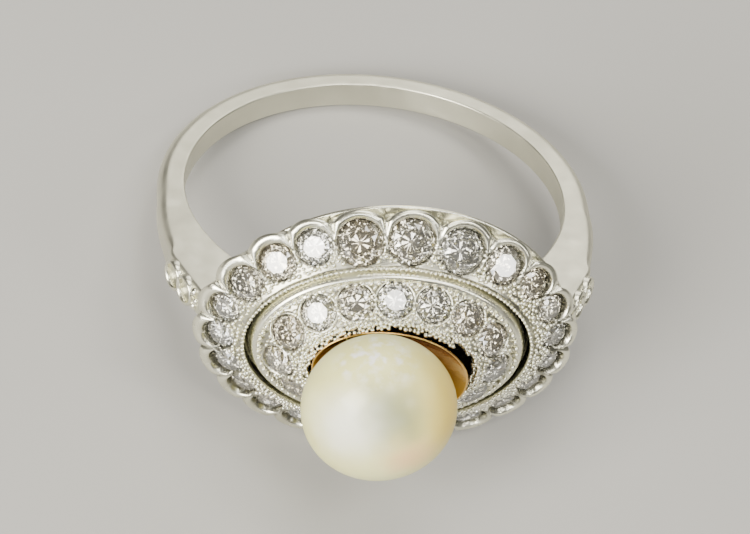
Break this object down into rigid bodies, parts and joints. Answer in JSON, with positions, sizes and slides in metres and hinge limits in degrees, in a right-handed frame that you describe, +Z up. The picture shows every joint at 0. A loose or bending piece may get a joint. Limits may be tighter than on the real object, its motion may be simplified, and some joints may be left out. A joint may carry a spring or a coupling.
{
  "type": "pearl and diamond ring",
  "caption": "Slim finger ring with an oval two-tier cluster of round diamonds, a scalloped edge and a central button pearl in a gold cup.",
  "frame": {"origin": "centre of the finger hole", "axes": "+Z up from the surface the ring lies on, -Y the way the head and pearl face (turned up a little), +X to the right seen from the head's side; the finger hole's axis leans back from +Z because the ring rests on its head's edge and its hoop"},
  "size_m": [0.0194, 0.026, 0.0118],
  "materials": {
    "white_metal": "satin hoop, bright-cut and beaded head",
    "diamond": "faceted, old cut",
    "gold": "polished",
    "pearl": "nacre lustre"
  },
  "bodies": {
    "root": {"mount": "white_metal", "pearl_cup": "gold", "pearl": "pearl", "shoulder_stones_left": "diamond", "shoulder_stones_right": "diamond", "halo_stone_01": "diamond", "halo_stone_02": "diamond", "halo_stone_03": "diamond", "halo_stone_04": "diamond", "halo_stone_05": "diamond", "halo_stone_06": "diamond", "halo_stone_07": "diamond", "halo_stone_08": "diamond", "halo_stone_09": "diamond", "halo_stone_10": "diamond", "halo_stone_11": "diamond", "halo_stone_12": "diamond", "halo_stone_13": "diamond", "halo_stone_14": "diamond", "halo_stone_15": "diamond", "halo_stone_16": "diamond", "halo_stone_17": "diamond", "halo_stone_18": "diamond", "halo_stone_19": "diamond", "halo_stone_20": "diamond", "halo_stone_21": "diamond", "halo_stone_22": "diamond", "halo_stone_23": "diamond", "tier_stone_01": "diamond", "tier_stone_02": "diamond", "tier_stone_03": "diamond", "tier_stone_04": "diamond", "tier_stone_05": "diamond", "tier_stone_06": "diamond", "tier_stone_07": "diamond", "tier_stone_08": "diamond", "tier_stone_09": "diamond", "tier_stone_10": "diamond", "tier_stone_11": "diamond", "tier_stone_12": "diamond", "tier_stone_13": "diamond", "tier_stone_14": "diamond", "tier_stone_15": "diamond"}
  },
  "joints": []
}
